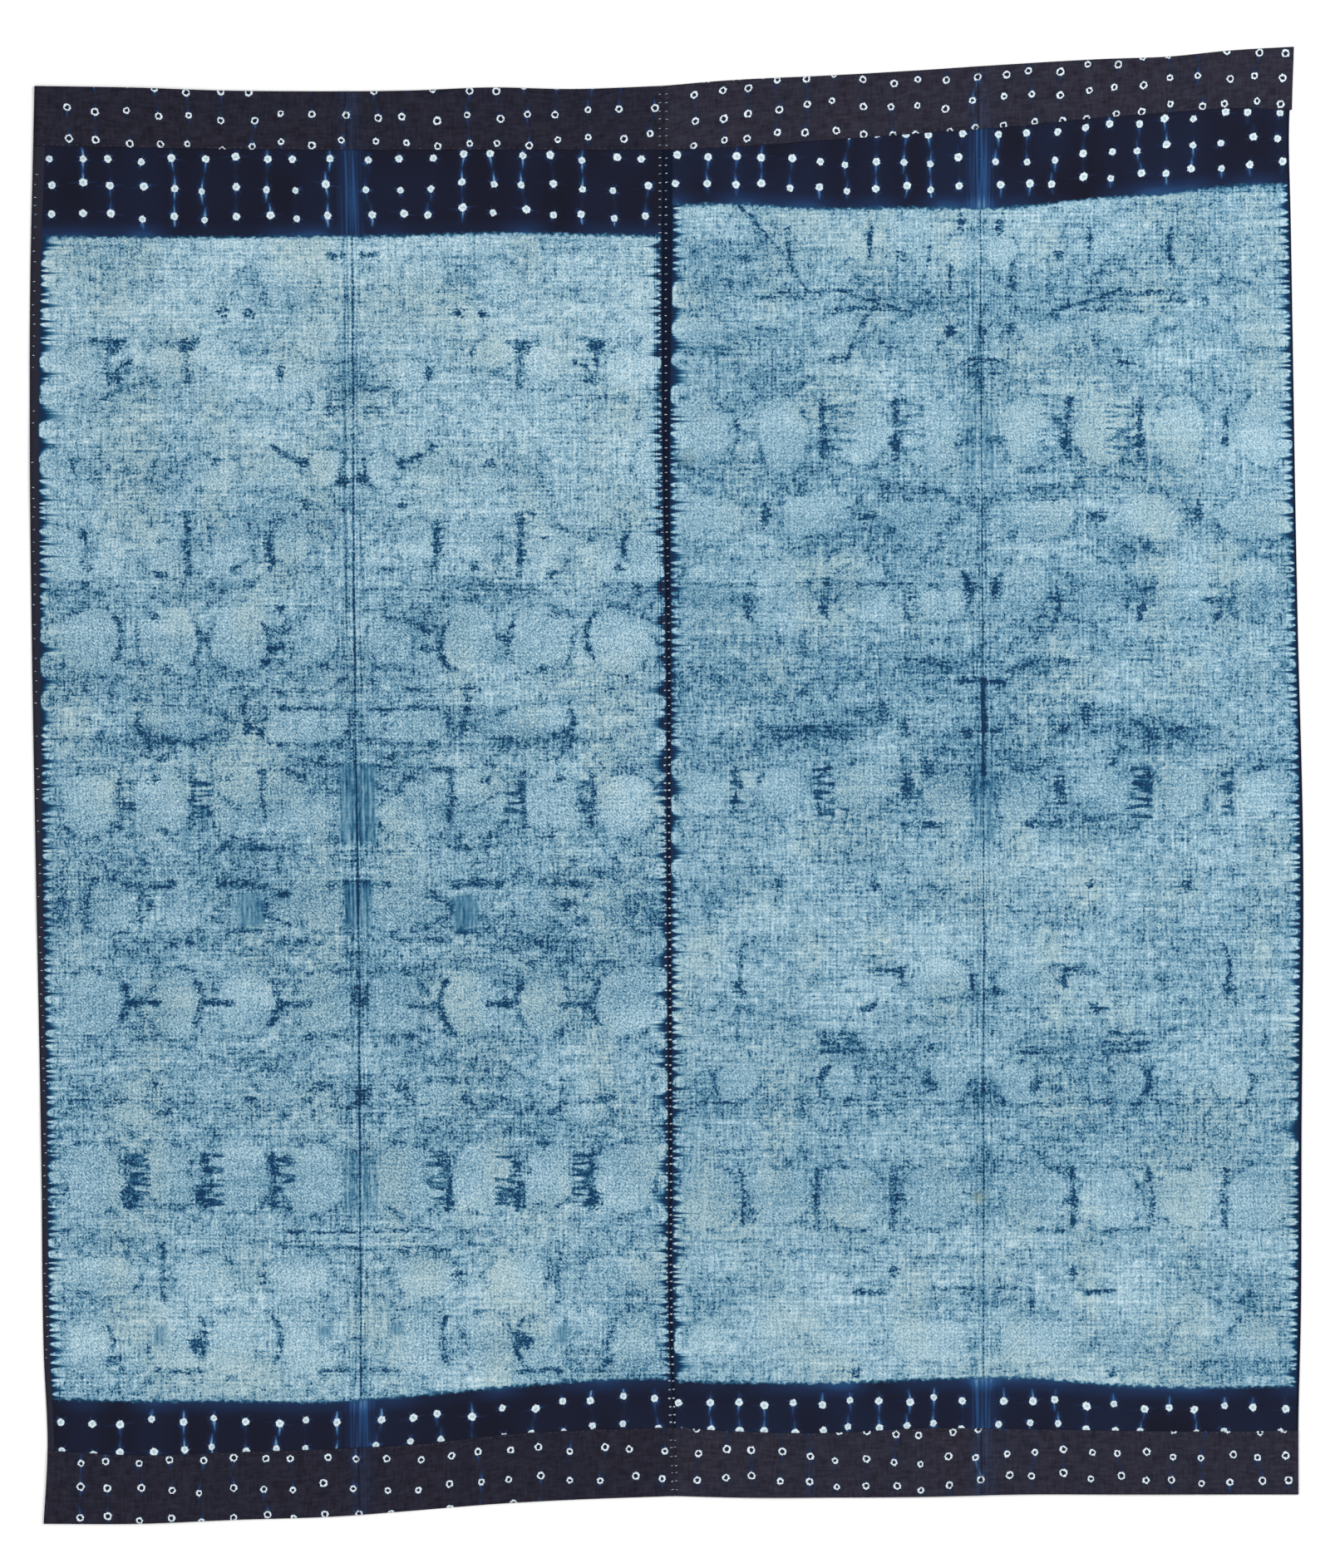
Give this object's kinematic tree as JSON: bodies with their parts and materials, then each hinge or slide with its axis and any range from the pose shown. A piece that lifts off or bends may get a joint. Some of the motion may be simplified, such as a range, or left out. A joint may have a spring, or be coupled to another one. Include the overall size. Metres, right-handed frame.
{
  "type": "adire cloth",
  "caption": "Flat indigo resist-dyed wrapper cloth: two lengths joined by a middle seam, both ends turned over onto the face as wide hems.",
  "frame": {"origin": "on the surface that the cloth lies on, under the middle of the cloth", "axes": "+Z out of the cloth's face, +Y along its length towards the top end, +X towards its right edge"},
  "size_m": [1.6545, 1.9183, 0.0027],
  "materials": {
    "indigo_cotton_left": "matte woven cotton, mottled pale and mid indigo with near-black indigo ends",
    "indigo_cotton_right": "matte woven cotton, mottled pale and mid indigo with near-black indigo ends"
  },
  "bodies": {
    "root": {"panel_left": "indigo_cotton_left", "panel_right": "indigo_cotton_right"}
  },
  "joints": []
}
